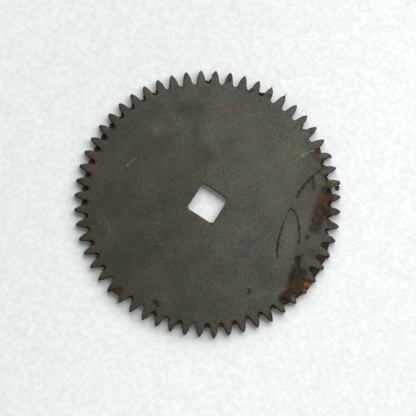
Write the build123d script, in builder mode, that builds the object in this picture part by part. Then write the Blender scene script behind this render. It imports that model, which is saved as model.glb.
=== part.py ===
from build123d import *
from math import asin, atan2, cos, hypot, radians, sin
import os

# Ratchet wheel of a clock's winding work: a flat steel wheel with pointed teeth round its rim
# and a square hole that seats on the square of its arbor. A click drops into the gaps between
# the teeth. The wheel lies on its underside. The origin is on the arbor's axis at the
# underside, +Z is up through the wheel, and +X and +Y stand square to the flats of the hole.

# Rim, in millimetres
tooth_count = 56
module = 0.7
wheel_thickness = 1.2

# Teeth, measured along the wheel's radius from the pitch circle, and across each tooth
addendum = 0.98
dedendum = 1.02
shoulder_depth = 0.1
shoulder_width = 1.15
tip_land = 0.2
gullet_radius = 0.38

# Square hole and the arbor that it seats on
arbor_square = 4.5
arbor_clearance = 0.05
hole_corner_radius = 0.45

# Bent and burred teeth, by their place in the count round the rim anticlockwise from +X:
# how far the tip is bent over, anticlockwise if positive, and how far it stands out
bent_teeth = {
    1: (-0.24, 0.0),
    6: (0.04, 0.20),
    7: (-0.06, 0.06),
    8: (-0.34, -0.04),
    14: (0.09, -0.03),
    47: (-0.06, 0.20),
    51: (0.05, 0.10),
    52: (0.13, 0.0),
    55: (-0.08, 0.0),
}

# Circles of the rim
pitch_radius = module * tooth_count / 2
tip_radius = pitch_radius + addendum
root_radius = pitch_radius - dedendum
shoulder_radius = pitch_radius - shoulder_depth
gullet_centre_radius = root_radius + gullet_radius
tooth_angle = 360 / tooth_count

# Half of the tooth, on its own centre line: the gullet's centre, and the straight flank that
# runs from the shoulder until it touches the gullet's round bottom
shoulder_side = shoulder_width / 2
gullet_along = gullet_centre_radius * cos(radians(tooth_angle / 2))
gullet_side = gullet_centre_radius * sin(radians(tooth_angle / 2))
to_gullet = atan2(gullet_side - shoulder_side, gullet_along - shoulder_radius)
gullet_distance = hypot(gullet_side - shoulder_side, gullet_along - shoulder_radius)
flank_slope = to_gullet + asin(gullet_radius / gullet_distance)
flank_length = (gullet_distance**2 - gullet_radius**2) ** 0.5
foot_radius = shoulder_radius + flank_length * cos(flank_slope)
foot_side = shoulder_side + flank_length * sin(flank_slope)


def on_tooth(angle, along, side):
    """Point on a tooth whose centre line stands at angle: along it and to its left side."""
    turn = radians(angle)
    return (along * cos(turn) - side * sin(turn), along * sin(turn) + side * cos(turn))


def draw_tooth(angle, tip_bend, tip_rise):
    """Two straight flanks, two arcs that close in a pointed arch, and the land at its tip."""
    land_radius = tip_radius + tip_rise
    for side in (-1, 1):
        foot = on_tooth(angle, foot_radius, side * foot_side)
        shoulder = on_tooth(angle, shoulder_radius, side * shoulder_side)
        tip = on_tooth(angle, land_radius, tip_bend + side * tip_land / 2)
        flank = Line(foot, shoulder)
        TangentArc(shoulder, tip, tangent=flank % 1)
    right_corner = on_tooth(angle, land_radius, tip_bend - tip_land / 2)
    left_corner = on_tooth(angle, land_radius, tip_bend + tip_land / 2)
    Line(right_corner, left_corner)


def draw_gullet(angle):
    """Round bottom of the gap that follows the tooth at angle."""
    start = on_tooth(angle, foot_radius, foot_side)
    bottom = on_tooth(angle + tooth_angle / 2, root_radius, 0)
    end = on_tooth(angle + tooth_angle, foot_radius, -foot_side)
    ThreePointArc(start, bottom, end)


# The wheel's outline, tooth by tooth. The first gap is centred on +X.
with BuildPart() as ratchet_wheel:
    with BuildSketch():
        for tooth in range(tooth_count):
            angle = (tooth + 0.5) * tooth_angle
            tip_bend, tip_rise = bent_teeth.get(tooth, (0.0, 0.0))
            with BuildLine():
                draw_tooth(angle, tip_bend, tip_rise)
                draw_gullet(angle)
        make_face()
        square_hole = arbor_square + 2 * arbor_clearance
        RectangleRounded(square_hole, square_hole, hole_corner_radius, mode=Mode.SUBTRACT)
    extrude(amount=wheel_thickness)

ratchet_wheel.part.label = "ratchet_wheel"
os.makedirs("parts", exist_ok=True)
export_step(ratchet_wheel.part, "parts/ratchet_wheel.step")
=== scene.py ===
# %% [markdown]
# # An old ratchet wheel, finished in Blender
#
# The wheel comes from CAD as one clean solid: a flat disc with pointed teeth and a square
# hole. On the real one the steel is oxidised to a dull grey-brown, the edges are worn, rust
# has grown along one side of the rim, and dirt is packed between the teeth. This lesson adds
# all of that. The first cell loads the solid, which stays as the frame that everything fits.

# %% Load the packed wheel
import math

import bmesh
import bpy
from mathutils import Matrix, Vector


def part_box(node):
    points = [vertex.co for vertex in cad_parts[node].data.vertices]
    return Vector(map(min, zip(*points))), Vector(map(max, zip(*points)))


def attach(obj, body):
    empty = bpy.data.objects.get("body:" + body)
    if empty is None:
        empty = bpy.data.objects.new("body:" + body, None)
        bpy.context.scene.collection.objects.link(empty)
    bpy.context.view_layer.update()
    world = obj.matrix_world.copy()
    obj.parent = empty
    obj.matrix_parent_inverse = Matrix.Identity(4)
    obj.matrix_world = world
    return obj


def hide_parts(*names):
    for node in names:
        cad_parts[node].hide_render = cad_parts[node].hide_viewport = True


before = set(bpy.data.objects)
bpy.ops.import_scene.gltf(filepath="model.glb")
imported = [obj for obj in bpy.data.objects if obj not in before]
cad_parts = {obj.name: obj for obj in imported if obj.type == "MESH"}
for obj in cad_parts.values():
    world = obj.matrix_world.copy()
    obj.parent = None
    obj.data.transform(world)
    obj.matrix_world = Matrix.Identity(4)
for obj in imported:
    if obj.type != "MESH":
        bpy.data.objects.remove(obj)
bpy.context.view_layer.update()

MM = 0.001
steel_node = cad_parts["ratchet_wheel"]
wheel_low, wheel_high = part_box("ratchet_wheel")
thickness = wheel_high.z - wheel_low.z
print("wheel", [round(side / MM, 2) for side in wheel_high - wheel_low], "mm")

# %% [markdown]
# ## Where the photograph looks from
#
# The picture is taken from almost straight above, a few degrees from one side, so a sliver of
# the hole's far wall shows. Three measures tie it to the wheel: the pixel of the wheel's
# centre, the pixels that a millimetre takes, and how far the hole's flats are turned. With
# them, `on_face` gives the point of the wheel under any pixel, so each mark is placed by where
# it is seen.

# %% Measures of the photograph
PHOTO_SIDE = 416
CENTRE_PIXEL = (207.75, 203.2)
PIXELS_PER_MM = 6.49
PICTURE_TURN = math.radians(32.64)
VIEW_TILT = math.radians(5.5)
VIEW_SIDE = math.radians(269.6)
CAMERA_DISTANCE = 0.6


def on_face(pixel):
    """The x and y, in millimetres on the wheel, of a pixel of the photograph."""
    right = (pixel[0] - CENTRE_PIXEL[0]) / PIXELS_PER_MM
    up = (CENTRE_PIXEL[1] - pixel[1]) / PIXELS_PER_MM
    along = Vector((right, up))
    along.rotate(Matrix.Rotation(PICTURE_TURN, 2))
    return along


print("the photograph's corner lies at", on_face((0, 0)), "mm")

# %% [markdown]
# ## Camera
#
# The lens is chosen so that the photograph's 416 pixels span the same millimetres here. The
# camera stands back along its line of sight from the point under the middle of the picture,
# and its right-hand side is turned to match the picture's.

# %% Camera
SENSOR_MM = 36.0
NEAREST, FURTHEST = 0.01, 10.0


def place_camera():
    """A camera above the wheel, tipped a little, with the photograph's right as its own."""
    middle = on_face((PHOTO_SIDE / 2, PHOTO_SIDE / 2)) * MM
    target = Vector((middle.x, middle.y, thickness))
    sideways = Vector((math.cos(VIEW_SIDE), math.sin(VIEW_SIDE), 0.0))
    back = sideways * math.sin(VIEW_TILT) + Vector((0, 0, 1)) * math.cos(VIEW_TILT)
    picture_right = Vector((math.cos(PICTURE_TURN), math.sin(PICTURE_TURN), 0.0))
    up = back.cross(picture_right).normalized()
    right = up.cross(back)
    turn = Matrix((right, up, back)).transposed().to_4x4()
    data = bpy.data.cameras.new("camera")
    data.sensor_width = SENSOR_MM
    data.lens = SENSOR_MM * CAMERA_DISTANCE / (PHOTO_SIDE / PIXELS_PER_MM * MM)
    data.clip_start = NEAREST
    data.clip_end = FURTHEST
    camera = bpy.data.objects.new("camera", data)
    camera.matrix_world = Matrix.Translation(target + back * CAMERA_DISTANCE) @ turn
    bpy.context.scene.collection.objects.link(camera)
    bpy.context.scene.camera = camera
    return camera


camera = place_camera()
print("lens", round(camera.data.lens, 1), "mm")

# %% [markdown]
# ## Light
#
# The shadows in the picture are wide and soft and fall to the lower left. Inside the square
# hole all four walls shade the paper, one of them far more than the rest. So the light is one
# very broad lamp at the upper right, wider than it is tall, and a weak pale sky. Together they
# light a white sheet to about white, so each colour below renders about as it is written.

# %% Lamp and sky
SKY_COLOUR = (0.97, 1.0, 1.0, 1.0)
SKY_STRENGTH = 0.30
LAMP_SIDE = math.radians(62.0) + PICTURE_TURN
LAMP_HEIGHT = math.radians(42.0)
LAMP_DISTANCE = 1.0
LAMP_WIDTH = 1.7
LAMP_TALL = 0.9
LAMP_POWER = 15.9


def light_the_scene():
    """A pale sky all round and one broad softbox that faces the wheel."""
    sky = bpy.data.worlds.new("sky")
    sky.use_nodes = True
    background = sky.node_tree.nodes["Background"]
    background.inputs["Color"].default_value = SKY_COLOUR
    background.inputs["Strength"].default_value = SKY_STRENGTH
    bpy.context.scene.world = sky
    lamp_data = bpy.data.lights.new("softbox", "AREA")
    lamp_data.shape = "RECTANGLE"
    lamp_data.size = LAMP_WIDTH
    lamp_data.size_y = LAMP_TALL
    lamp_data.energy = LAMP_POWER
    lamp = bpy.data.objects.new("softbox", lamp_data)
    level = Vector((math.cos(LAMP_SIDE), math.sin(LAMP_SIDE), 0.0))
    towards = level * math.cos(LAMP_HEIGHT) + Vector((0, 0, 1)) * math.sin(LAMP_HEIGHT)
    lamp.location = towards * LAMP_DISTANCE
    lamp.rotation_euler = towards.to_track_quat("Z", "Y").to_euler()
    bpy.context.scene.collection.objects.link(lamp)


light_the_scene()
bpy.context.scene.view_settings.view_transform = "Standard"
print("lamp of", LAMP_POWER, "W,", LAMP_WIDTH, "by", LAMP_TALL, "m")

# %% [markdown]
# ## Helpers for modelling
#
# An operator works on whatever is selected, and the loaded solid comes in selected. So each
# piece starts from a clean selection. `edit` opens a piece in edit mode, and `pick` selects
# its vertices or edges by a test.

# %% Selection helpers


def start_clean():
    """Leaves edit mode if need be and deselects every object."""
    if bpy.context.object and bpy.context.object.mode != "OBJECT":
        bpy.ops.object.mode_set(mode="OBJECT")
    bpy.ops.object.select_all(action="DESELECT")


def edit(piece):
    """Makes a piece the active one and opens it in edit mode with everything selected."""
    start_clean()
    bpy.context.view_layer.objects.active = piece
    piece.select_set(True)
    bpy.ops.object.mode_set(mode="EDIT")
    bpy.ops.mesh.select_all(action="SELECT")


def pick(piece, test, mode="VERT"):
    """Selects only the vertices or edges that pass the test; edit mode stays open."""
    bpy.ops.mesh.select_all(action="DESELECT")
    bpy.ops.mesh.select_mode(type=mode)
    mesh = bmesh.from_edit_mesh(piece.data)
    parts = {"VERT": mesh.verts, "EDGE": mesh.edges}[mode]
    for part in parts:
        if test(part):
            part.select_set(True)
    mesh.select_flush_mode()
    bmesh.update_edit_mesh(piece.data)


def close_edit():
    """Back to object mode."""
    bpy.ops.object.mode_set(mode="OBJECT")


start_clean()
print("selected now:", len(bpy.context.selected_objects), "objects")

# %% [markdown]
# Three more helpers finish a piece. One applies a modifier as soon as it is added, so that no
# piece keeps a live one. One joins pieces and puts their common origin at the frame's. The
# last makes the cloud pattern that roughens a surface.

# %% Modifiers, joining and clouds


def apply_modifier(piece, kind, name, **settings):
    """Adds a modifier with its settings and applies it at once."""
    start_clean()
    bpy.context.view_layer.objects.active = piece
    piece.select_set(True)
    modifier = piece.modifiers.new(name, kind)
    for key, value in settings.items():
        setattr(modifier, key, value)
    bpy.ops.object.modifier_apply(modifier=name)


def join(pieces, name):
    """Joins pieces into one with its origin at the frame's own."""
    start_clean()
    for piece in pieces:
        piece.select_set(True)
    bpy.context.view_layer.objects.active = pieces[0]
    bpy.ops.object.join()
    bpy.ops.object.transform_apply(location=True, rotation=True, scale=True)
    whole = bpy.context.object
    whole.name = name
    return whole


def cloud_texture(name, size_mm, depth=2):
    """A soft cloud pattern for the Displace modifier, with lumps of about this size."""
    texture = bpy.data.textures.new(name, "CLOUDS")
    texture.noise_scale = size_mm * MM
    texture.noise_depth = depth
    return texture


print("cloud patterns so far:", len(bpy.data.textures))

# %% [markdown]
# ## The steel wheel
#
# The wheel in the photograph is a plain plate, but no edge on it is sharp and no face quite
# even. A copy of the solid's mesh is merged into one skin, and its flat faces are joined into
# single ones. A narrow bevel all round wears the edges. Then a grid of cuts gives the flat
# faces points of their own, and two cloud patterns sink them by up to a few hundredths of a
# millimetre, which is enough to break up the light. They only sink them, never lift them, so
# the wheel stays inside the solid and above the table.

# %% Copy, merge and bevel
WELD = 0.001 * MM
SAME_FACE = math.radians(0.5)
EDGE_WEAR = 0.05 * MM
LEVEL_NORMAL = 0.7


def copy_of_solid():
    """The solid's mesh as a piece of its own, merged, with each flat face made one face."""
    start_clean()
    piece = bpy.data.objects.new("worn_wheel", steel_node.data.copy())
    bpy.context.scene.collection.objects.link(piece)
    edit(piece)
    bpy.ops.mesh.remove_doubles(threshold=WELD)
    bpy.ops.mesh.dissolve_limited(angle_limit=SAME_FACE)
    close_edit()
    return piece


def is_rim_of_face(edge):
    """True for an edge between the upper or lower face and an upright wall."""
    upright = [abs(face.normal.z) < LEVEL_NORMAL for face in edge.link_faces]
    return len(upright) == 2 and upright[0] != upright[1]


wheel = copy_of_solid()
edit(wheel)
pick(wheel, is_rim_of_face, mode="EDGE")
bpy.ops.mesh.bevel(offset=EDGE_WEAR, segments=2, affect="EDGES", clamp_overlap=True)
close_edit()
print("worn edges:", len(wheel.data.polygons), "faces")

# %% Cut the faces into a grid
# In millimetres; the shift keeps the cuts off the wheel's own axes
GRID_STEP = 0.4
GRID_SHIFT = 0.13


def cut_grid(piece, reach_mm):
    """Cuts the whole piece by two sets of upright planes, one across X and one across Y."""
    edit(piece)
    steps = int(reach_mm / GRID_STEP)
    for normal in (Vector((1, 0, 0)), Vector((0, 1, 0))):
        for step in range(-steps, steps + 1):
            place = normal * (step + GRID_SHIFT) * GRID_STEP * MM
            bpy.ops.mesh.select_all(action="SELECT")
            bpy.ops.mesh.bisect(plane_co=place, plane_no=normal)
    close_edit()


cut_grid(wheel, wheel_high.x / MM)
print("grid:", len(wheel.data.vertices), "vertices")

# %% Uneven faces
WAVE_SIZE = 2.6
WAVE_HEIGHT = 0.02 * MM
PIT_SIZE = 0.45
PIT_DEPTH = 0.012 * MM
SINK_ONLY = 1.0
SMOOTH_BELOW = math.radians(35)

apply_modifier(wheel, "DISPLACE", "waves", texture=cloud_texture("waves", WAVE_SIZE),
               strength=WAVE_HEIGHT, mid_level=SINK_ONLY)
apply_modifier(wheel, "DISPLACE", "pits", texture=cloud_texture("pits", PIT_SIZE),
               strength=PIT_DEPTH, mid_level=SINK_ONLY)
edit(wheel)
bpy.ops.mesh.quads_convert_to_tris()
close_edit()
bpy.ops.object.shade_smooth_by_angle(angle=SMOOTH_BELOW)
print("worn wheel:", len(wheel.data.polygons), "faces")

# %% [markdown]
# ## Places round the rim
#
# The teeth and gaps are counted anticlockwise from the wheel's X axis, which runs through the
# middle of gap 0. Tooth 0 stands between gap 0 and gap 1. A place on the rim is a count, which
# may be a fraction, and a radius in millimetres.

# %% Count round the rim
TOOTH_COUNT = 56
ROOT_RADIUS = 18.58
TIP_RADIUS = 20.58
PITCH_RADIUS = 19.6


def rim_turn(count):
    """The angle of a count round the rim, in radians from the X axis."""
    return math.tau * count / TOOTH_COUNT


def on_rim(count, radius, height=0.0):
    """The point, in metres, at a count round the rim, a radius and a height."""
    turn = rim_turn(count)
    return Vector((math.cos(turn) * radius, math.sin(turn) * radius, height)) * MM


print("gap 14 lies at", [round(value / MM, 2) for value in on_rim(14, PITCH_RADIUS)], "mm")

# %% [markdown]
# ## Rust and dirt packed between the teeth
#
# Oil, dust and rust have caked in many of the gaps. There are three kinds. Some gaps on the
# rusty side are full almost to the tips. Most others have a lining that follows the round
# bottom and creeps up both flanks. On the left there are dark plugs at the roots. Each kind
# starts from its own primitive, is cut finer and roughened by a cloud pattern, and runs a
# little way into the steel, so it looks grown on.

# %% Full gaps
# In millimetres, from the wheel's centre or underside
LUMP_ROOT = 18.3
LUMP_FLOOR = 0.14
LUMP_INNER = 0.78
LUMP_OVERLAP = 0.24
LUMP_CUTS = 6
AFTER_SMOOTHING = (1.08, 1.08, 1.04)
GAP_ROOT, GAP_TAPER, GAP_FLARE = 0.78, 0.35, 1.0
CRUST = 0.17 * MM
IN_AND_OUT = 0.5
crust_texture = cloud_texture("crust", 0.35, depth=3)


def gap_width(radius):
    """How wide a gap is at a radius, in millimetres, a little generously."""
    share = (radius - ROOT_RADIUS) / (TIP_RADIUS - ROOT_RADIUS)
    return GAP_ROOT + GAP_TAPER * share + GAP_FLARE * share * share


def roughen(lump, height=CRUST):
    """Pushes the skin of a lump in and out by clouds that differ from place to place."""
    apply_modifier(lump, "DISPLACE", "crust", texture=crust_texture, strength=height,
                   mid_level=IN_AND_OUT, texture_coords="GLOBAL")
    return lump


def turn_to(count):
    """Turns everything selected in edit mode from the X axis to a count round the rim."""
    bpy.ops.transform.rotate(value=-rim_turn(count), orient_axis="Z", center_override=(0, 0, 0))


def fill_gap(count, reach, top, lean):
    """A rough lump that fills gap `count` out to `reach`, further on one side if it leans."""
    start_clean()
    length = reach - LUMP_ROOT
    bpy.ops.mesh.primitive_cube_add(size=1.0)
    lump = bpy.context.object
    outer = gap_width(reach) + LUMP_OVERLAP
    edit(lump)
    bpy.ops.transform.resize(value=(length * MM, LUMP_INNER * MM, (top - LUMP_FLOOR) * MM))
    pick(lump, lambda vertex: vertex.co.x > 0)
    bpy.ops.transform.resize(value=(1, outer / LUMP_INNER, 1))
    pick(lump, lambda vertex: vertex.co.x > 0 and vertex.co.y * lean > 0)
    bpy.ops.transform.translate(value=(abs(lean) * MM, 0, 0))
    bpy.ops.mesh.select_all(action="SELECT")
    bpy.ops.mesh.subdivide(number_cuts=LUMP_CUTS)
    bpy.ops.mesh.vertices_smooth(factor=0.5, repeat=4)
    bpy.ops.transform.resize(value=AFTER_SMOOTHING, center_override=(0, 0, 0))
    middle = (LUMP_ROOT + reach) / 2
    bpy.ops.transform.translate(value=(middle * MM, 0, (top + LUMP_FLOOR) / 2 * MM))
    turn_to(count)
    close_edit()
    return roughen(lump)


# Each gap with its reach, its height and its lean, in millimetres
FULL_GAPS = {53: (19.5, 0.98, 0.3), 54: (19.95, 1.12, 0.15), 55: (20.15, 1.16, -0.15),
             0: (20.05, 1.05, 0.05), 1: (19.95, 1.1, 0.15), 2: (19.75, 1.05, -0.1),
             40: (19.6, 1.12, -0.4), 9: (19.2, 1.08, 0.25), 6: (19.1, 0.8, -0.25)}

lumps = [fill_gap(gap, *sizes) for gap, sizes in FULL_GAPS.items()]
print("full gaps:", len(lumps))

# %% [markdown]
# A lining is made with spin: a small upright disc is stretched tall, set against the bottom of
# the gap, and spun about the middle of the gap, so that it sweeps a U. An extrusion along the
# gap's outline would need that outline as points, and the spin needs only a centre and a turn.

# %% Linings
LINING_CENTRE = 19.08
LINING_TURN = math.radians(205)
LINING_CLEAR = 0.05
LINING_SIDES = 10
LINING_CRUST = 0.6 * CRUST
SPIN_STEPS = 16
UPRIGHT = (math.radians(90), 0, 0)


def line_gap(count, thick, top, lean):
    """A U of dirt round the bottom of gap `count`, longer on one side if it leans."""
    start_clean()
    centre = Vector((LINING_CENTRE, 0, top / 2 + LUMP_FLOOR / 2)) * MM
    sweep = LINING_CENTRE - ROOT_RADIUS - thick / 2 + LINING_CLEAR
    bpy.ops.mesh.primitive_circle_add(vertices=LINING_SIDES, radius=0.5 * MM,
                                      fill_type="NGON", rotation=UPRIGHT)
    lining = bpy.context.object
    edit(lining)
    bpy.ops.transform.resize(value=(thick, 1, top - LUMP_FLOOR))
    bpy.ops.transform.translate(value=centre + Vector((-sweep * MM, 0, 0)))
    first = LINING_TURN / 2 - math.radians(lean)
    bpy.ops.transform.rotate(value=-first, orient_axis="Z", center_override=centre)
    bpy.ops.mesh.spin(steps=SPIN_STEPS, angle=LINING_TURN, center=centre, axis=(0, 0, 1))
    bpy.ops.mesh.select_all(action="SELECT")
    bpy.ops.mesh.remove_doubles(threshold=WELD)
    bpy.ops.mesh.normals_make_consistent(inside=False)
    turn_to(count)
    close_edit()
    apply_modifier(lining, "SUBSURF", "divide", levels=1, subdivision_type="SIMPLE")
    return roughen(lining, LINING_CRUST)


# Each lined gap with the lining's thickness and height in millimetres, and how far it is
# turned towards the higher counts, in degrees
LINED_GAPS = {3: (0.45, 1.1, -14), 4: (0.33, 1.0, -5), 5: (0.48, 1.1, 4), 7: (0.39, 1.1, 10),
              8: (0.39, 1.1, 0), 11: (0.27, 1.0, 0), 15: (0.63, 1.12, -18), 16: (0.24, 1.0, 0),
              19: (0.45, 1.15, -14), 22: (0.18, 0.9, -20), 23: (0.39, 1.1, -12),
              24: (0.36, 1.05, -18), 25: (0.39, 1.0, -12), 26: (0.48, 1.0, -16),
              34: (0.33, 1.0, 0), 35: (0.24, 0.9, 0), 36: (0.42, 1.05, 0), 37: (0.36, 1.0, 4),
              38: (0.3, 0.95, 6), 41: (0.21, 0.9, -8), 43: (0.45, 1.15, 12), 44: (0.18, 0.8, 0),
              45: (0.45, 1.1, -6), 47: (0.45, 1.12, 0), 48: (0.51, 1.1, 14), 49: (0.48, 1.1, 0),
              50: (0.21, 0.9, -10), 51: (0.39, 1.05, -8), 52: (0.33, 1.0, 8)}

linings = [line_gap(gap, *sizes) for gap, sizes in LINED_GAPS.items()]
print("linings:", len(linings))

# %% [markdown]
# The plugs are short cylinders with a bevelled upper edge, so that they look pressed in. All
# three kinds of dirt are then joined into one piece, because on the wheel they are one crust.

# %% Plugs
PLUG_CENTRE = 18.9
PLUG_SIDES = 20
PLUG_ROUNDING = 0.12 * MM
SPOKE_SHARE = 0.4


def is_on_circle(edge, radius, above):
    """True for an edge of the cylinder's upper circle, and not for a spoke of its cap."""
    span = (edge.verts[0].co - edge.verts[1].co).length
    return span < SPOKE_SHARE * radius and all(vertex.co.z > above for vertex in edge.verts)


def plug_gap(count, radius, top, aside):
    """A short rough plug at the root of gap `count`, towards one flank."""
    start_clean()
    place = Vector((PLUG_CENTRE, aside, (top + LUMP_FLOOR) / 2)) * MM
    bpy.ops.mesh.primitive_cylinder_add(vertices=PLUG_SIDES, radius=radius * MM, location=place,
                                        depth=(top - LUMP_FLOOR) * MM, end_fill_type="TRIFAN")
    plug = bpy.context.object
    bpy.ops.object.transform_apply(location=True, rotation=False, scale=False)
    edit(plug)
    pick(plug, lambda edge: is_on_circle(edge, radius * MM, top * MM - WELD), mode="EDGE")
    bpy.ops.mesh.bevel(offset=PLUG_ROUNDING, segments=3, affect="EDGES")
    bpy.ops.mesh.select_all(action="SELECT")
    bpy.ops.mesh.subdivide(number_cuts=2)
    turn_to(count)
    close_edit()
    return roughen(plug)


# The plugs' black, set in packed_dirt, is partly dirt and partly painted shade of these deep gaps.
# Each plugged gap with the plug's radius, its height and its shift to the higher counts' side
PLUGGED_GAPS = {27: (0.50, 0.85, -0.1), 28: (0.52, 0.75, -0.08), 29: (0.52, 0.9, -0.02),
                30: (0.53, 0.9, 0.0), 31: (0.50, 0.8, 0.08), 32: (0.55, 0.85, 0.0),
                33: (0.48, 0.8, 0.0)}

plugs = [plug_gap(gap, *sizes) for gap, sizes in PLUGGED_GAPS.items()]
packed_rust = join(lumps + linings + plugs, "packed_rust")
bpy.ops.object.shade_smooth_by_angle(angle=SMOOTH_BELOW)
print("packed rust:", len(packed_rust.data.polygons), "faces")

# %% [markdown]
# ## Burrs
#
# A click that skips over the teeth drags thin slivers off their tips. Each is a slim cone
# from a point on its tooth to where the sliver ends. One has curled over into a small ring and
# turned black.

# %% Slivers
# Each row: count and radius of the root, count and radius of the end, thickness at the root
SLIVERS = [
    ((6.47, 20.4), (6.34, 20.86), 0.30),
    ((6.46, 20.45), (6.16, 20.4), 0.36),
    ((8.44, 20.25), (8.22, 20.48), 0.42),
    ((8.30, 20.46), (8.17, 20.30), 0.26),
    ((13.5, 20.3), (13.5, 20.95), 0.20),
    ((14.55, 20.2), (14.56, 20.8), 0.20),
    ((18.6, 19.8), (18.78, 20.0), 0.30),
    ((20.4, 19.5), (20.18, 19.55), 0.26),
    ((22.4, 19.7), (22.2, 19.85), 0.24),
    ((40.5, 20.3), (40.48, 20.98), 0.15),
    ((42.55, 19.95), (42.74, 20.1), 0.30),
    ((47.5, 20.3), (47.47, 20.9), 0.26),
    ((51.5, 20.3), (51.53, 20.85), 0.32),
    ((2.56, 19.8), (2.78, 19.95), 0.28),
    ((1.45, 20.2), (1.08, 20.32), 0.36),
    ((48.52, 19.6), (48.72, 19.75), 0.24),
]
SLIVER_HEIGHT = 0.98
SLIVER_SIDES = 10
SLIVER_POINT = 0.04 * MM
TORN_SIZE = 0.12
TORN_HEIGHT = 0.02 * MM


def sliver(root, end, width):
    """A slim cone from one place on the rim to another, near the upper face."""
    start_clean()
    start = on_rim(*root, SLIVER_HEIGHT)
    stop = on_rim(*end, SLIVER_HEIGHT)
    along = stop - start
    bpy.ops.mesh.primitive_cone_add(vertices=SLIVER_SIDES, radius1=width / 2 * MM,
                                    radius2=SLIVER_POINT, depth=along.length,
                                    location=(start + stop) / 2,
                                    rotation=along.to_track_quat("Z", "X").to_euler())
    return bpy.context.object


burrs = join([sliver(*row) for row in SLIVERS], "burrs")
apply_modifier(burrs, "SUBSURF", "divide", levels=2, subdivision_type="SIMPLE")
apply_modifier(burrs, "DISPLACE", "torn", texture=cloud_texture("torn", TORN_SIZE),
               strength=TORN_HEIGHT, mid_level=IN_AND_OUT)
bpy.ops.object.shade_smooth_by_angle(angle=SMOOTH_BELOW)
print("burrs:", len(burrs.data.polygons), "faces")

# %% The black curl
CURL_PLACE = (6.12, 20.2, 0.9)
CURL_THICKNESS = 0.40 * MM
CURL_RADIUS = 0.21 * MM
CURL_TURN = math.radians(335)
CURL_AXIS = (0.2, 0.1, 1.0)
CURL_SIDES = 10


def black_curl():
    """A thick sliver curled nearly all the way round, standing off the tip of tooth 6."""
    start_clean()
    centre = on_rim(*CURL_PLACE)
    bpy.ops.mesh.primitive_circle_add(vertices=CURL_SIDES, radius=CURL_THICKNESS / 2,
                                      fill_type="NGON", rotation=UPRIGHT,
                                      location=centre + Vector((CURL_RADIUS, 0, 0)))
    curl = bpy.context.object
    edit(curl)
    bpy.ops.mesh.spin(steps=SPIN_STEPS, angle=CURL_TURN, center=centre, axis=CURL_AXIS)
    bpy.ops.mesh.select_all(action="SELECT")
    bpy.ops.mesh.normals_make_consistent(inside=False)
    close_edit()
    return curl


swarf_curl = join([black_curl()], "swarf_curl")
bpy.ops.object.shade_smooth_by_angle(angle=SMOOTH_BELOW)
print("curl:", len(swarf_curl.data.polygons), "faces")

# %% [markdown]
# ## Shader maths as Python
#
# Each finish is a tree of nodes. To keep a tree readable, a `Value` wraps one output socket
# and turns Python's operators into Math nodes, so `1 - mask * 0.5` builds what it says. Every
# other node comes from one method, `Finish.add`.

# %% Value


class Value:
    """One output of a node that can be used in sums like a number."""

    def __init__(self, finish, socket):
        self.finish = finish
        self.socket = socket

    def __add__(self, other):
        return self.finish.maths("ADD", self, other)

    __radd__ = __add__

    def __sub__(self, other):
        return self.finish.maths("SUBTRACT", self, other)

    def __rsub__(self, other):
        return self.finish.maths("SUBTRACT", other, self)

    def __mul__(self, other):
        return self.finish.maths("MULTIPLY", self, other)

    __rmul__ = __mul__

    def at_most(self, other):
        """The smaller of the two."""
        return self.finish.maths("MINIMUM", self, other)

    def at_least(self, other):
        """The larger of the two."""
        return self.finish.maths("MAXIMUM", self, other)


print("a Value knows:", [name.strip("_") for name in vars(Value) if callable(vars(Value)[name])])

# %% [markdown]
# `Finish` is one material. Besides `add` it has short names for the nodes that are used most,
# and `surface`, which ends the tree. Rust and oxide shine very little, so every finish here
# gets the same low specular level. At the usual level dark colours would render too pale.

# %% Finish
DULL = 0.15


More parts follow.
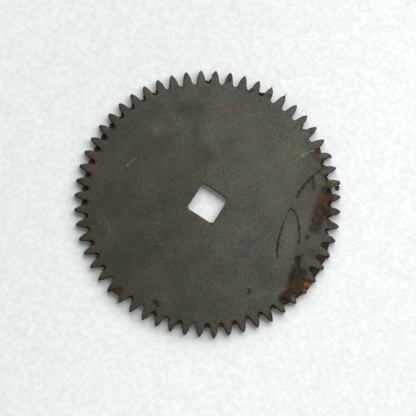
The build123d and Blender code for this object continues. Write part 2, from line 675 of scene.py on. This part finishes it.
class Finish:
    """A material and the one method that adds its nodes."""

    def __init__(self, name):
        self.material = bpy.data.materials.new(name)
        self.material.use_nodes = True
        self.tree = self.material.node_tree
        self.tree.nodes.clear()

    def add(self, kind, settings=None, sockets=None, output=0):
        """Adds a node, applies its settings, then its values and links, and returns an output."""
        node = self.tree.nodes.new(kind)
        for key, value in (settings or {}).items():
            setattr(node, key, value)
        for key, value in (sockets or {}).items():
            if isinstance(value, Value):
                self.tree.links.new(value.socket, node.inputs[key])
            else:
                node.inputs[key].default_value = value
        return Value(self, node.outputs[output]) if len(node.outputs) else None

    def maths(self, operation, first, second=0.0):
        """One Math node."""
        return self.add("ShaderNodeMath", {"operation": operation}, {0: first, 1: second})

    def vector(self, operation, first, second=(0, 0, 0), output="Vector"):
        """One Vector Math node."""
        return self.add("ShaderNodeVectorMath", {"operation": operation},
                        {0: first, 1: second}, output)

    def scaled(self, colour, factor):
        """A colour or vector times a number."""
        return self.add("ShaderNodeVectorMath", {"operation": "SCALE"},
                        {0: colour, "Scale": factor})

    def place(self):
        """Object coordinates in millimetres."""
        return self.scaled(self.add("ShaderNodeTexCoord", output="Object"), 1 / MM)

    def noise(self, place, per_mm, detail=2.0, roughness=0.5, output="Factor"):
        """Soft noise from 0 to 1 with about this many features to a millimetre."""
        sockets = {"Vector": place, "Scale": per_mm, "Detail": detail, "Roughness": roughness}
        number = {"Factor": 0, "Color": 1}[output]
        return self.add("ShaderNodeTexNoise", None, sockets, number)

    def ramp(self, value, low, high, low_out=0.0, high_out=1.0):
        """Goes smoothly from low_out to high_out while value goes from low to high."""
        sockets = {0: value, 1: low, 2: high, 3: low_out, 4: high_out}
        return self.add("ShaderNodeMapRange", {"interpolation_type": "SMOOTHSTEP"}, sockets)

    def mix(self, factor, first, second):
        """Mixes two colours; in a Mix node the colour sockets are numbers 6 and 7."""
        sockets = {0: factor, 6: first, 7: second}
        return self.add("ShaderNodeMix", {"data_type": "RGBA"}, sockets, output=2)

    def surface(self, bump=None, **sockets):
        """Ends the tree in a Principled shader with the sockets given by name."""
        named = {key.replace("_", " "): value for key, value in sockets.items()}
        if bump:
            height, distance = bump
            named["Normal"] = self.add("ShaderNodeBump", None,
                                       {"Height": height, "Distance": distance})
        named["Specular IOR Level"] = DULL
        shader = self.add("ShaderNodeBsdfPrincipled", None, named)
        self.add("ShaderNodeOutputMaterial", None, {"Surface": shader})
        return self.material


print("a Finish makes:", [name for name in vars(Finish) if not name.startswith("_")])

# %% [markdown]
# Colours are written as they look on a screen, 0 to 255, because that is how a colour picker
# shows a photograph. Shaders count in linear light, so `tone` converts them.

# %% Colours


def tone(red, green, blue):
    """A screen colour, 0 to 255 each, as the linear colour that a shader takes."""
    shades = []
    for channel in (red, green, blue):
        share = channel / 255
        shades.append(share / 12.92 if share <= 0.04045 else ((share + 0.055) / 1.055) ** 2.4)
    return (*shades, 1.0)


print("mid grey as a linear colour", [round(share, 3) for share in tone(119, 119, 119)])

# %% [markdown]
# ## Table top
#
# The wheel lies on a plain pale sheet. It is only a stage, so it gets a fine grain and a
# painted fall of light, darker at one corner and paler at the other, and nothing more.

# %% Floor
FLOOR_SIDE = 4.0
SHADED_SHEET, LIT_SHEET = tone(238, 242, 241), tone(252, 254, 254)
TOWARDS_LIT_SHEET = (0.8, -0.6)


def make_floor():
    """A large sheet at the height of the wheel's underside."""
    start_clean()
    bpy.ops.mesh.primitive_plane_add(size=FLOOR_SIDE, location=(0, 0, wheel_low.z))
    floor = bpy.context.object
    floor.name = "paper"
    finish = Finish("paper")
    place = finish.place()
    rising = Vector(TOWARDS_LIT_SHEET)
    rising.rotate(Matrix.Rotation(PICTURE_TURN, 2))
    slope = finish.vector("DOT_PRODUCT", place, (*rising, 0.0), output="Value")
    # Painted fall of light: the sheet goes from its shaded corner to its lit one.
    colour = finish.mix(finish.ramp(slope, -32.0, 26.0), SHADED_SHEET, LIT_SHEET)
    grain = finish.noise(place, 1.1, detail=5.0, roughness=0.7)
    colour = finish.scaled(colour, finish.ramp(grain, 0.3, 0.7, 0.91, 1.05))
    clouds = finish.noise(place, 0.35, detail=4.0, roughness=0.6)
    colour = finish.scaled(colour, finish.ramp(clouds, 0.3, 0.7, 0.97, 1.02))
    floor.data.materials.append(finish.surface(Base_Color=colour, Roughness=0.9,
                                               bump=(grain, 0.03 * MM)))
    return floor


floor = make_floor()
print("floor at height", round(floor.location.z / MM, 3), "mm")

# %% [markdown]
# ## Marks on the face
#
# Most marks are strokes: a streak of rust, the two curved lines that a washer's edge left, a
# patch along the rim. Each is a line through a few places with a half width in millimetres.
# `Marks` measures how far a point of the face is from such a line. Its place is first shaken
# by noise, so the strokes get ragged edges.

# %% Marks
SHAKES_PER_MM = 2.2
BELOW_FACE, ABOVE_FACE = 0.35 * thickness / MM, 0.6 * thickness / MM


class Marks:
    """Strokes and spots on the upper face of the wheel, at places in millimetres."""

    def __init__(self, finish, place, shake_mm=0.22):
        self.finish = finish
        noise = finish.noise(place, SHAKES_PER_MM, detail=3.0, output="Color")
        shake = finish.scaled(finish.vector("SUBTRACT", noise, (0.5, 0.5, 0.5)), 2 * shake_mm)
        shaken = finish.vector("ADD", place, shake)
        self.flat = finish.vector("MULTIPLY", shaken, (1, 1, 0))
        height = finish.add("ShaderNodeSeparateXYZ", None, {0: place}, output=2)
        self.upper = finish.ramp(height, BELOW_FACE, ABOVE_FACE)

    def to_line(self, start, end):
        """Distance, in millimetres seen from above, from the line between two places."""
        length = (end - start).length
        direction = (*((end - start) / length), 0.0)
        offset = self.finish.vector("SUBTRACT", self.flat, (*start, 0.0))
        along = self.finish.vector("DOT_PRODUCT", offset, direction, output="Value")
        foot = self.finish.scaled(direction, along.at_least(0.0).at_most(length))
        return self.finish.vector("DISTANCE", offset, foot, output="Value")

    def stroke(self, places, half_width, strength=1.0, softness=0.45):
        """Its strength along a line through the places and 0 outside its half width."""
        nearest = None
        if len(places) == 1:
            nearest = self.finish.vector("DISTANCE", self.flat, (*places[0], 0.0), output="Value")
        for start, end in zip(places, places[1:]):
            distance = self.to_line(start, end)
            nearest = distance if nearest is None else nearest.at_most(distance)
        soft = half_width * softness
        return self.finish.ramp(nearest, half_width - soft, half_width + soft, strength, 0.0) \
            * self.upper

    def all_of(self, rows, find=on_face, softness=0.45):
        """One mask for all rows of a list: its places, a half width and a strength."""
        whole = None
        for places, half_width, strength in rows:
            mask = self.stroke([find(place) for place in places], half_width, strength, softness)
            whole = mask if whole is None else whole.at_least(mask)
        return whole


def by_rim(place):
    """The x and y, in millimetres, of a place given as a count round the rim and a radius."""
    return (on_rim(*place) / MM).to_2d()


print("marks show above", round(BELOW_FACE, 2), "mm")

# %% [markdown]
# Each row below is a line of places, a half width in millimetres and a strength. A single
# place makes a round spot. These places are pixels that were read off the photograph.

# %% Where the marks are
DARK_STREAKS = [
    ([(297.4, 196.4), (300.5, 190.7), (305.0, 185.0), (309.5, 180.0), (313.4, 176.4)], 0.24, 1.0),
    ([(313.4, 176.4), (318.0, 171.8), (323.2, 168.0)], 0.20, 0.62),
    ([(313.2, 177.9), (314.3, 188.3)], 0.19, 0.85),
    ([(288.6, 211.9), (291.0, 208.6), (294.6, 211.8)], 0.15, 0.85),
    ([(294.6, 211.8), (298.0, 218.6), (299.4, 228.4), (299.6, 240.5)], 0.17, 0.95),
    ([(286.1, 216.2), (282.1, 227.4)], 0.13, 0.7),
    ([(282.1, 227.4), (278.6, 238.9), (277.1, 248.0), (277.3, 257.7)], 0.18, 1.0),
    ([(299.0, 242.3)], 0.34, 0.95), ([(307.4, 237.7)], 0.33, 0.85),
    ([(299.0, 257.6), (302.0, 254.8)], 0.26, 0.6),
    ([(319.0, 214.0), (316.0, 226.0)], 0.75, 0.4), ([(330.5, 200.0)], 0.5, 0.6),
    ([(281.0, 219.5)], 0.18, 0.4), ([(249.4, 290.4), (248.8, 292.6)], 0.33, 1.0),
    ([(154.6, 301.6), (157.2, 304.4)], 0.42, 1.0),
    ([(146.0, 207.0)], 0.16, 0.6), ([(211.7, 224.0)], 0.26, 0.9), ([(311.8, 196.8)], 0.2, 0.4),
    ([(329.4, 191.6)], 0.42, 1.0), ([(324.0, 162.4)], 0.3, 0.9),
    ([(323.6, 206.0), (325.0, 214.0)], 0.3, 0.6), ([(331.5, 202.5), (334.0, 207.0)], 0.2, 0.6),
]
RED_PATCHES = [
    ([(325.5, 190.5), (323.0, 202.0)], 0.75, 0.95),
    ([(323.5, 202.0), (319.5, 213.0)], 1.0, 1.0),
    ([(319.0, 213.0), (315.5, 227.5)], 0.98, 0.9),
    ([(329.5, 196.0), (331.5, 206.0), (327.0, 217.0)], 0.55, 0.85),
    ([(333.0, 205.5), (337.0, 208.5)], 0.3, 0.6), ([(328.0, 221.0)], 0.5, 0.5),
    ([(331.0, 190.0), (334.0, 199.0)], 0.3, 0.7),
    ([(327.3, 181.5), (329.5, 187.0)], 0.40, 0.8),
    ([(331.0, 203.0), (328.0, 212.0)], 0.45, 0.7),
    ([(326.8, 177.3)], 0.26, 0.8), ([(336.5, 170.5)], 0.3, 0.4), ([(337.0, 211.0)], 0.35, 0.5),
    ([(334.0, 228.5), (331.5, 240.0)], 0.25, 0.7),
]
OLIVE_PATCHES = [
    ([(298.0, 259.0), (296.6, 273.3)], 0.55, 1.0),
    ([(296.4, 273.3), (293.0, 286.0)], 1.05, 1.0),
    ([(301.0, 274.0), (297.5, 288.0)], 1.0, 1.0),
    ([(291.5, 290.0), (283.5, 299.5)], 0.85, 1.0),
    ([(293.0, 267.0)], 0.4, 0.7),
    ([(302.5, 262.0), (303.5, 270.0)], 0.5, 0.35),
    ([(318.0, 168.0), (326.0, 178.0)], 0.4, 0.35), ([(326.0, 205.0), (322.0, 222.0)], 0.7, 0.35),
    ([(313.5, 152.5), (325.0, 166.0)], 0.55, 0.45),
]
ORANGE_SPOTS = [
    ([(318.6, 153.2)], 0.42, 0.7), ([(329.9, 184.2)], 0.32, 0.8), ([(308.4, 287.0)], 0.42, 0.95),
    ([(303.8, 283.0)], 0.36, 0.8), ([(304.4, 293.0)], 0.3, 0.9), ([(296.6, 293.0)], 0.42, 0.8),
    ([(321.6, 171.0)], 0.2, 0.5), ([(327.4, 199.0)], 0.4, 0.5), ([(320.0, 213.0)], 0.4, 0.45),
    ([(293.5, 287.0)], 0.4, 0.45), ([(299.5, 280.0)], 0.3, 0.4), ([(322.0, 196.0)], 0.3, 0.5),
]
SCRATCHES = [
    ([(303.9, 154.3), (308.5, 152.4), (313.6, 150.6)], 0.07, 0.8),
    ([(303.2, 155.0), (304.4, 153.6)], 0.13, 0.95),
    ([(312.8, 151.0), (314.2, 150.2)], 0.11, 0.8),
    ([(293.5, 162.5), (303.2, 155.0)], 0.06, 0.4),
    ([(127.0, 165.5), (131.0, 162.0), (137.0, 157.0)], 0.07, 0.4),
    ([(126.5, 164.5), (129.5, 166.5)], 0.08, 0.5), ([(155.5, 128.0), (158.0, 131.5)], 0.10, 0.4),
    ([(104.0, 224.0), (113.0, 235.0)], 0.06, 0.2), ([(148.0, 243.0), (164.0, 244.5)], 0.06, 0.2),
    ([(105.0, 219.0), (112.0, 231.0)], 0.06, 0.2),
]
DARK_SHADES = [
    ([(181.0, 108.0), (197.0, 108.0)], 1.0, 0.55), ([(180.0, 271.0)], 2.2, 0.45),
    ([(260.0, 267.0)], 2.0, 0.4), ([(126.0, 258.0)], 2.6, 0.4), ([(228.0, 138.0)], 1.4, 0.35),
    ([(197.0, 131.0), (205.0, 158.0)], 1.0, 0.3), ([(150.0, 207.0)], 1.8, 0.25),
]
WARM_PLACES = [
    ([(150.0, 160.0), (178.0, 168.0)], 3.2, 0.8), ([(112.0, 206.0), (122.0, 226.0)], 2.6, 0.7),
    ([(205.0, 160.0)], 2.2, 0.45), ([(184.0, 238.0)], 2.8, 0.45), ([(160.0, 286.0)], 3.0, 0.5),
    ([(236.0, 118.0)], 1.6, 0.4), ([(302.0, 246.0), (306.0, 262.0)], 1.4, 0.6),
    ([(318.0, 178.0), (310.0, 206.0)], 1.4, 0.5), ([(90.0, 240.0)], 2.0, 0.5),
    ([(232.0, 322.0), (262.0, 316.0)], 1.4, 0.45),
]
GREEN_PLACES = [
    ([(132.0, 150.0)], 2.4, 0.5), ([(138.0, 240.0)], 2.6, 0.5), ([(196.0, 190.0)], 2.2, 0.3),
    ([(206.0, 300.0)], 2.6, 0.4), ([(118.0, 258.0)], 2.0, 0.4), ([(160.0, 128.0)], 1.8, 0.3),
]
LIGHT_PLACES = [
    ([(208.0, 134.0)], 1.6, 0.5), ([(244.0, 140.0), (276.0, 200.0)], 3.0, 0.5),
    ([(290.0, 228.0), (288.0, 252.0)], 0.9, 0.6), ([(286.0, 180.0)], 2.4, 0.4),
    ([(306.0, 200.0), (306.0, 228.0)], 0.9, 0.45), ([(157.0, 129.0)], 1.0, 0.45),
]
FACE_ROWS = (DARK_STREAKS, RED_PATCHES, OLIVE_PATCHES, ORANGE_SPOTS, SCRATCHES, DARK_SHADES,
             WARM_PLACES, GREEN_PLACES, LIGHT_PLACES)
print("marks on the face:", sum(len(rows) for rows in FACE_ROWS))

# %% [markdown]
# On the teeth themselves a place is easier to give by its count round the rim and its radius.

# %% Marks on the teeth
# The first seven spots, at the roots of gaps 27 to 33, are partly dirt and partly painted shade of
# those deep, narrow gaps.
DARK_TEETH_AND_ROOT_SHADE = [([(gap - 0.04, 18.6)], 0.40, 0.95) for gap in range(27, 34)] + [
    ([(16.78, 19.6), (16.86, 18.9)], 0.20, 0.95), ([(15.7, 18.9), (15.8, 18.4)], 0.3, 0.6),
    ([(51.42, 20.7)], 0.30, 0.95), ([(51.66, 19.5), (51.58, 20.3)], 0.2, 0.8),
    ([(53.3, 18.7), (53.25, 19.6)], 0.36, 0.75),
    ([(39.54, 20.3), (39.74, 19.5)], 0.34, 1.0), ([(42.68, 20.1)], 0.22, 0.9),
    ([(31.55, 20.2), (31.65, 19.8)], 0.26, 0.9), ([(3.5, 18.9), (3.6, 19.6)], 0.34, 0.6),
    ([(4.3, 18.6)], 0.5, 0.6), ([(5.9, 18.6)], 0.45, 0.9), ([(2.75, 19.9)], 0.2, 0.9),
    ([(20.55, 20.2)], 0.25, 0.6), ([(18.6, 20.2)], 0.22, 0.6), ([(14.4, 19.3)], 0.4, 0.45),
    ([(10.4, 19.6)], 0.4, 0.45), ([(50.0, 18.5)], 0.4, 0.5), ([(43.0, 18.2)], 0.35, 0.4),
    ([(gap, 18.5) for gap in (35.9, 36.1)], 0.2, 0.7),
]
RED_TEETH = [
    ([(17.45, 20.1), (17.5, 19.4)], 0.34, 0.8), ([(51.5, 20.3), (51.7, 19.5)], 0.34, 0.8),
    ([(4.35, 19.4), (4.3, 18.8)], 0.34, 0.8), ([(5.55, 18.9)], 0.5, 0.7),
    ([(6.45, 19.1)], 0.42, 0.8), ([(8.35, 19.0)], 0.3, 0.5),
    ([(47.5, 20.5), (47.4, 19.9)], 0.2, 0.6), ([(44.5, 20.3)], 0.3, 0.5),
    ([(31.5, 20.3)], 0.22, 0.6), ([(37.45, 20.3)], 0.26, 0.6),
    ([(24.5, 20.1)], 0.3, 0.4), ([(26.5, 20.2)], 0.26, 0.5), ([(27.5, 20.3)], 0.26, 0.6),
    ([(28.4, 19.8)], 0.3, 0.5), ([(0.75, 19.9), (0.9, 19.6)], 0.2, 0.6),
    ([(13.5, 20.4)], 0.22, 0.5), ([(52.5, 20.5)], 0.22, 0.6), ([(1.2, 18.1)], 0.9, 0.4),
]
ORANGE_TEETH = [
    ([(54.48, 20.5), (54.45, 20.2)], 0.26, 0.95), ([(8.75, 18.75)], 0.42, 0.6),
    ([(5.1, 18.2)], 0.5, 0.4), ([(6.3, 19.0)], 0.3, 0.5), ([(48.0, 18.7)], 0.5, 0.45),
    ([(40.1, 18.5)], 0.3, 0.3), ([(28.45, 20.6)], 0.16, 0.6), ([(55.2, 18.9)], 0.3, 0.5),
]
print("marks on the teeth:", len(DARK_TEETH_AND_ROOT_SHADE) + len(RED_TEETH) + len(ORANGE_TEETH))

# %% [markdown]
# ## Where an edge is near
#
# A dark line is painted round every tooth and gap, along the worn edge. A shader can find it
# by measuring. It folds the whole rim onto one gap: the angle gives how far a point is to the
# side of the nearest gap's middle, and the radius gives how far out it is. From those two
# follows the distance to the gap's outline.

# %% Distance to the outline of the gaps
GULLET_CENTRE = 18.96
GULLET_RADIUS = 0.38
OPENING, FLARE = 0.178, 0.1475


def half_gap(beyond):
    """Half a gap's width in millimetres, this far beyond its round bottom's centre."""
    return GULLET_RADIUS + OPENING * beyond + FLARE * beyond * beyond


def edge_distance(finish, place):
    """Millimetres from the outline of the nearest gap, growing into the steel."""
    east = finish.add("ShaderNodeSeparateXYZ", None, {0: place}, output=0)
    north = finish.add("ShaderNodeSeparateXYZ", None, {0: place}, output=1)
    radius = finish.vector("LENGTH", finish.vector("MULTIPLY", place, (1, 1, 0)), output="Value")
    count = finish.maths("ARCTAN2", north, east) * (TOOTH_COUNT / math.tau)
    nearest = finish.maths("ABSOLUTE", finish.maths("FRACT", count) - 0.5)
    aside = (0.5 - nearest) * radius * (math.tau / TOOTH_COUNT)
    outwards = radius - GULLET_CENTRE
    beyond = outwards.at_least(0.0)
    inside = outwards.at_most(0.0)
    return finish.maths("SQRT", inside * inside + aside * aside) - half_gap(beyond)


print("half a gap at the tips:", round(half_gap(TIP_RADIUS - GULLET_CENTRE), 2), "mm")

# %% [markdown]
# ## Oxidised steel
#
# The face is grey-brown, darkest at the left and lighter at the right. This is partly the oxide's
# own tone and partly painted light, lighter on the lamp's side. Its colour wanders at three
# scales: wide blotches, a mottle of half a millimetre that leans to red, green or blue, and a
# fine grain. Over that come the marks in turn: warm, green, shaded and lighter places, the
# dark line along the edges, the kinds of rust, the bright scratches, and last the walls,
# darker as a crust of rust and as painted shade.

# %% The bare steel
# Features to a millimetre, and the swing of red, green and blue where a pattern tints
BLOTCHES = 0.24
WIDE_TINT, WIDE_SWING, WIDE_SHIFT = 0.5, 0.42, (31, 7, 0)
MOTTLE, MOTTLE_SWING = 2.0, 0.75
GRAIN = 3.6
TOWARDS_LIGHT = (0.94, 0.33)
STEEL_AWAY_FROM_LAMP, STEEL_TOWARDS_LAMP = tone(68, 66, 57), tone(91, 90, 81)


def tinted(finish, colour, place, per_mm, amount, detail=3.0, roughness=0.55):
    """A colour whose red, green and blue each wander by themselves with soft noise."""
    noise = finish.noise(place, per_mm, detail, roughness, output="Color")
    swing = finish.scaled(finish.vector("SUBTRACT", noise, (0.5, 0.5, 0.5)), amount)
    return finish.vector("MULTIPLY", colour, finish.vector("ADD", swing, (1, 1, 1)))


def steel_ground(finish, place):
    """The colour of the bare oxidised face: a slope of tone that is partly painted light, then
    three scales of noise.
    """
    # Partly the oxide's own tone and partly painted light: lighter towards the lamp's side.
    towards_lamp = Vector(TOWARDS_LIGHT)
    towards_lamp.rotate(Matrix.Rotation(PICTURE_TURN, 2))
    slope = finish.vector("DOT_PRODUCT", place, (*towards_lamp, 0.0), output="Value")
    ground = finish.mix(finish.ramp(slope, -22.0, 22.0), STEEL_AWAY_FROM_LAMP, STEEL_TOWARDS_LAMP)
    blotch = finish.noise(place, BLOTCHES, detail=4.0, roughness=0.6)
    ground = finish.scaled(ground, finish.ramp(blotch, 0.3, 0.7, 0.84, 1.16))
    elsewhere = finish.vector("ADD", place, WIDE_SHIFT)
    ground = tinted(finish, ground, elsewhere, WIDE_TINT, WIDE_SWING)
    ground = tinted(finish, ground, place, MOTTLE, MOTTLE_SWING, detail=5.0)
    mottle = finish.noise(place, GRAIN, detail=3.0, roughness=0.6)
    return finish.scaled(ground, finish.ramp(mottle, 0.3, 0.7, 0.76, 1.24)), mottle


def wall_mask(finish):
    """1 on upright walls, 0 on the flat faces, in between on the worn edges."""
    normal = finish.add("ShaderNodeTexCoord", output="Normal")
    steepness = finish.vector("DOT_PRODUCT", normal, (0, 0, 1), output="Value")
    return finish.ramp(steepness * steepness, 0.15, 0.92, 1.0, 0.0)


print("mottle of", round(1 / MOTTLE, 2), "mm and grain of", round(1 / GRAIN, 2), "mm")

# %% [markdown]
# A coat of rust has two tones, parted by noise, so that it looks crumbly. Its row gives where
# the noise turns from the darker tone to the lighter one, and the two tones. A coat's cover is
# how much of it stays where the surface is broken up.

# %% Coats over the bare steel
SOFT_PLACES = ((WARM_PLACES, tone(80, 64, 52), 0.5), (GREEN_PLACES, tone(62, 66, 48), 0.45),
               (DARK_SHADES, tone(58, 57, 54), 1.0), (LIGHT_PLACES, tone(104, 102, 94), 0.6))
# Tones of the darker line painted along every tooth and gap.
EDGE_LINE_TONES = (0.4, 0.6, tone(54, 45, 34), tone(66, 60, 46))
OLIVE_RUST = (0.38, 0.62, tone(33, 27, 18), tone(58, 47, 27))
RED_BROWN_RUST = (0.38, 0.62, tone(45, 31, 25), tone(74, 48, 33))
# Dark rust, also used for the painted shade at the roots of gaps 27 to 33.
DARK_RUST_AND_ROOT_SHADE = (0.4, 0.62, tone(38, 28, 21), tone(58, 40, 31))
ORANGE_RUST = tone(108, 66, 30)
BARE_SCRATCH = tone(140, 133, 121)
# The walls' darker tones: partly a crust of rust, partly painted shade.
WALL_CRUST_AND_SHADE = (tone(50, 41, 31), tone(76, 65, 49))
EDGE_LINE = (0.04, 0.27)
OLIVE_COVER, RED_COVER, DARK_COVER, EDGE_COVER = 0.88, 0.55, 0.7, 0.4


def two_tones(finish, crumbs, low, high, dark, light):
    """One kind of rust or dirt, dark where the crumbs' noise is low and light where it is high."""
    return finish.mix(finish.ramp(crumbs, low, high), dark, light)


def soft_places(finish, marks, crumbs, colour):
    """Lays the warm, green, shaded and lighter places over a colour."""
    for places, shade, strength in SOFT_PLACES:
        soft = marks.all_of(places, softness=0.8)
        worn = finish.ramp(crumbs, 0.3, 0.6, 0.4, 1.0)
        colour = finish.mix(soft * worn * strength, colour, shade)
    return colour


print("rust and dirt of", len((EDGE_LINE_TONES, OLIVE_RUST, RED_BROWN_RUST, DARK_RUST_AND_ROOT_SHADE)), "kinds")

# %% The whole finish of the wheel


def oxidised_steel():
    """The steel with its soft places, dark edge lines, rusts, scratches and darker walls, crust
    and painted shade.
    """
    finish = Finish("oxidised_steel")
    place = finish.place()
    marks = Marks(finish, place)
    colour, mottle = steel_ground(finish, place)
    broken = finish.ramp(finish.noise(place, 3.0, detail=4.0, roughness=0.65), 0.3, 0.58, 0.2, 1.0)
    crumbs = finish.noise(place, 1.3, detail=4.0, roughness=0.65)
    colour = soft_places(finish, marks, crumbs, colour)
    # A darker line painted along the outline of every tooth and gap.
    edge = finish.ramp(edge_distance(finish, place) + (mottle - 0.5) * 0.2, *EDGE_LINE, 1.0, 0.0)
    olive = marks.all_of(OLIVE_PATCHES)
    red = marks.all_of(RED_PATCHES).at_least(marks.all_of(RED_TEETH, by_rim))
    # The dark mask holds rust streaks and, at the roots of gaps 27 to 33, painted shade.
    dark = marks.all_of(DARK_STREAKS).at_least(marks.all_of(DARK_TEETH_AND_ROOT_SHADE, by_rim))
    for mask, tones in ((edge * broken.at_least(EDGE_COVER) * 0.85, EDGE_LINE_TONES),
                        (olive * broken.at_least(OLIVE_COVER), OLIVE_RUST),
                        (red * broken.at_least(RED_COVER), RED_BROWN_RUST),
                        (dark * broken.at_least(DARK_COVER), DARK_RUST_AND_ROOT_SHADE)):
        colour = finish.mix(mask, colour, two_tones(finish, crumbs, *tones))
    orange = marks.all_of(ORANGE_SPOTS).at_least(marks.all_of(ORANGE_TEETH, by_rim))
    colour = finish.mix(orange * broken * 0.8, colour, ORANGE_RUST)
    bright = marks.all_of(SCRATCHES)
    colour = finish.mix(bright, colour, BARE_SCRATCH)
    # Every upright wall is painted darker than the face: partly a crust of rust, partly painted
    # shade.
    walls = wall_mask(finish)
    colour = finish.mix(walls * 0.85, colour, finish.mix(mottle, *WALL_CRUST_AND_SHADE))
    rusty = dark.at_least(orange).at_least(red).at_least(olive).at_least(walls * 0.7)
    return finish.surface(Base_Color=colour, Roughness=0.6 + rusty * 0.28 - bright * 0.15,
                          Metallic=0.4 - rusty * 0.36,
                          bump=(mottle + rusty * mottle, 0.014 * MM))


wheel.data.materials.clear()
wheel.data.materials.append(oxidised_steel())
print("steel nodes:", len(wheel.data.materials[0].node_tree.nodes))

# %% [markdown]
# ## Rust, dirt and swarf
#
# What is packed in the gaps is nearly black where it is oily and dark brown where it is dry; in
# gaps 27 to 33 its black is partly painted shade.
# In a few gaps it is fresh orange rust, and these are picked out by where they lie. The curl
# of swarf is burnt almost black, and the burrs are a rustier version of the steel.

# %% Where the packed dirt is orange, red or black
# By count round the rim and radius, as on the teeth
FRESH_RUST = [([(55.0, 20.1), (54.85, 19.6)], 0.36, 0.85), ([(54.85, 18.9)], 0.3, 0.5),
              ([(54.2, 19.4), (54.2, 19.0)], 0.28, 0.5), ([(53.85, 19.4)], 0.25, 0.4),
              ([(8.85, 18.85)], 0.4, 0.28), ([(53.3, 19.0)], 0.3, 0.3), ([(48.0, 18.8)], 0.6, 0.2)]
RED_RUST = [([(40.0, 19.4)], 1.3, 0.4), ([(53.2, 19.2)], 0.6, 0.4), ([(54.1, 19.6)], 0.7, 0.7),
            ([(5.0, 18.8)], 0.6, 0.7), ([(15.0, 18.8)], 0.9, 0.6), ([(19.0, 18.8)], 0.9, 0.5),
            ([(7.0, 18.8)], 0.6, 0.5), ([(31.9, 18.8)], 0.5, 0.6), ([(30.0, 18.7)], 0.5, 0.4)]
# In gaps 27 to 33 the black is partly dirt and partly painted shade.
BLACK_DIRT_AND_ROOT_SHADE = [([(gap, 18.6)], 0.6, 0.5) for gap in range(27, 34)] + [
              ([(28.9, 18.9)], 0.6, 0.9), ([(32.8, 19.2)], 0.5, 0.9),
              ([(43.0, 18.7)], 0.6, 0.8), ([(47.0, 18.7)], 0.6, 0.7), ([(6.0, 18.7)], 0.7, 1.0),
              ([(0.0, 18.8)], 0.7, 0.6), ([(2.1, 19.0)], 0.7, 0.5), ([(23.9, 18.8)], 0.5, 0.6),
              ([(24.9, 18.9)], 0.6, 0.6), ([(25.9, 18.9)], 0.6, 0.7), ([(36.0, 18.8)], 0.5, 0.6)]
print("marks in the dirt:", len(FRESH_RUST) + len(RED_RUST) + len(BLACK_DIRT_AND_ROOT_SHADE))

# %% Materials of the dirt, the burrs and the curl


def packed_dirt():
    """Brown dirt, red and black in places, with fresh orange rust in a few gaps; the black in gaps
    27 to 33 is partly painted shade.
    """
    finish = Finish("packed_dirt")
    place = finish.place()
    marks = Marks(finish, place, shake_mm=0.2)
    lumps = finish.noise(place, 3.0, detail=4.0, roughness=0.65)
    colour = two_tones(finish, lumps, 0.35, 0.65, tone(36, 27, 18), tone(66, 53, 38))
    colour = tinted(finish, colour, place, 2.0, 0.6)
    red = marks.all_of(RED_RUST, by_rim)
    colour = finish.mix(red, colour, finish.mix(lumps, tone(38, 20, 13), tone(76, 43, 27)))
    black = marks.all_of(BLACK_DIRT_AND_ROOT_SHADE, by_rim)
    colour = finish.mix(black * 0.8, colour, tone(30, 23, 17))
    fresh = marks.all_of(FRESH_RUST, by_rim)
    orange = two_tones(finish, lumps, 0.35, 0.62, tone(86, 50, 22), tone(158, 96, 42))
    colour = finish.mix(fresh * finish.ramp(lumps, 0.32, 0.5), colour, orange)
    return finish.surface(Base_Color=colour, Roughness=0.85, bump=(lumps, 0.08 * MM))


def rusty_burr():
    """The steel of the slivers, rustier than the face."""
    finish = Finish("rusty_burr")
    place = finish.place()
    patches = finish.noise(place, 2.4, detail=3.0)
    colour = two_tones(finish, patches, 0.4, 0.6, tone(48, 37, 28), tone(74, 60, 46))
    return finish.surface(Base_Color=colour, Roughness=0.7, Metallic=0.2,
                          bump=(patches, 0.02 * MM))


def burnt_swarf():
    """The nearly black curl."""
    finish = Finish("burnt_swarf")
    place = finish.place()
    patches = finish.noise(place, 6.0, detail=3.0)
    colour = two_tones(finish, patches, 0.35, 0.65, tone(20, 14, 10), tone(44, 30, 20))
    return finish.surface(Base_Color=colour, Roughness=0.6, bump=(patches, 0.01 * MM))


for piece, material in ((packed_rust, packed_dirt()), (burrs, rusty_burr()),
                        (swarf_curl, burnt_swarf())):
    piece.data.materials.clear()
    piece.data.materials.append(material)
    print(piece.name, "wears", material.name)

# %% [markdown]
# ## Tie the pieces to the frame
#
# Each piece rides on the wheel's body. The worn wheel stands in for the plain solid, which is
# hidden. Only the burrs reach past the tips.

# %% Tie the pieces to the frame
PIECES = (wheel, packed_rust, burrs, swarf_curl)
for piece in PIECES:
    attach(piece, "root")
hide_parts("ratchet_wheel")

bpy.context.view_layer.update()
faces = [face for piece in PIECES for face in piece.data.polygons]
print("triangles:", sum(len(face.vertices) - 2 for face in faces))
